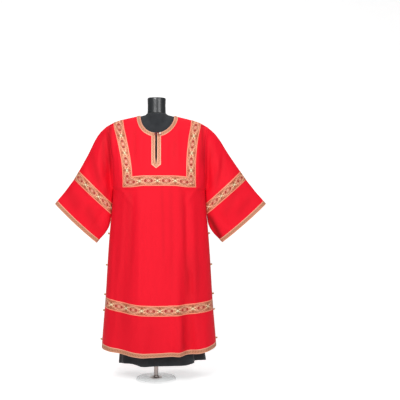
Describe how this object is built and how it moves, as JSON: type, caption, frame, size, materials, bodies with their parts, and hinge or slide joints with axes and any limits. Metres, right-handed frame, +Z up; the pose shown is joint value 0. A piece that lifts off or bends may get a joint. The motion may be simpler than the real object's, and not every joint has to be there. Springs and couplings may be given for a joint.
{
  "type": "sticharion on dress form",
  "caption": "Straight wide-sleeved server's vestment with braid yoke, bands, slit neck, back cross and side-slit buttons, worn on a limbless dress form with cap, pole and disc foot.",
  "frame": {"origin": "centre of the underside of the stand's foot, on the floor", "axes": "+Z up; the garment's front faces -Y; +X is the wearer's left"},
  "size_m": [1.2618, 0.4336, 1.681],
  "materials": {
    "red_cloth": "satin woven polyester-silk cloth",
    "wide_braid": "woven metallic galloon",
    "narrow_braid": "woven metallic galloon",
    "cross_embroidery": "satin-stitch embroidery in metallic thread",
    "button_metal": "polished",
    "loop_cord": "twisted cord",
    "form_cover": "matt knit cover",
    "neck_cap": "gloss",
    "pole_metal": "satin",
    "foot_glass": "clear, polished edge"
  },
  "bodies": {
    "root": {"front_panel": "red_cloth", "back_panel": "red_cloth", "sleeve_right": "red_cloth", "sleeve_left": "red_cloth", "yoke_braid_front": "wide_braid", "yoke_braid_back": "wide_braid", "skirt_band_front": "wide_braid", "skirt_band_back": "wide_braid", "sleeve_band_right": "wide_braid", "sleeve_band_left": "wide_braid", "neck_braid_front": "narrow_braid", "neck_braid_back": "narrow_braid", "hem_and_slit_braid_front": "narrow_braid", "hem_and_slit_braid_back": "narrow_braid", "cuff_braid_right": "narrow_braid", "cuff_braid_left": "narrow_braid", "back_cross": "cross_embroidery", "button_right_1": "button_metal", "button_right_2": "button_metal", "button_right_3": "button_metal", "button_right_4": "button_metal", "button_right_5": "button_metal", "button_left_1": "button_metal", "button_left_2": "button_metal", "button_left_3": "button_metal", "button_left_4": "button_metal", "button_left_5": "button_metal", "loop_right_1": "loop_cord", "loop_right_2": "loop_cord", "loop_right_3": "loop_cord", "loop_right_4": "loop_cord", "loop_right_5": "loop_cord", "loop_left_1": "loop_cord", "loop_left_2": "loop_cord", "loop_left_3": "loop_cord", "loop_left_4": "loop_cord", "loop_left_5": "loop_cord", "form_torso": "form_cover", "form_cover_skirt": "form_cover", "form_neck_cap": "neck_cap", "stand_pole": "pole_metal", "stand_collar": "pole_metal", "stand_foot": "foot_glass"}
  },
  "joints": []
}
